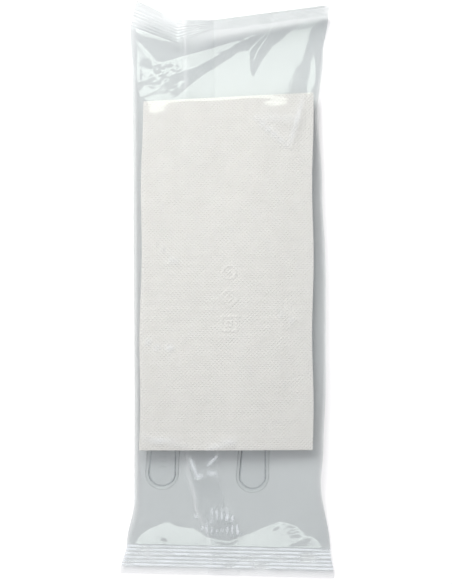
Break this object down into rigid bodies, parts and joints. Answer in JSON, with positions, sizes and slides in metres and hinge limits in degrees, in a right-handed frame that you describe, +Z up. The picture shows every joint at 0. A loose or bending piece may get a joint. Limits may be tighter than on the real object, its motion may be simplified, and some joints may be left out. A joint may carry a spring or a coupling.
{
  "type": "plastic cutlery pack",
  "caption": "Sealed clear film flow pack holding a folded white tissue napkin, a clear plastic knife and a clear plastic fork.",
  "frame": {"origin": "under the middle of the pack, on the surface it lies on", "axes": "+Y along the pack towards the end seal beyond the knife's tip, +Z up through the napkin's side, +X across"},
  "size_m": [0.1004, 0.2687, 0.0154],
  "materials": {
    "clear_film": "clear glossy polypropylene film",
    "tissue": "matt embossed white tissue",
    "clear_plastic": "clear moulded polystyrene"
  },
  "bodies": {
    "root": {"film_wrap": "clear_film", "napkin": "tissue", "knife": "clear_plastic", "fork": "clear_plastic"}
  },
  "joints": []
}
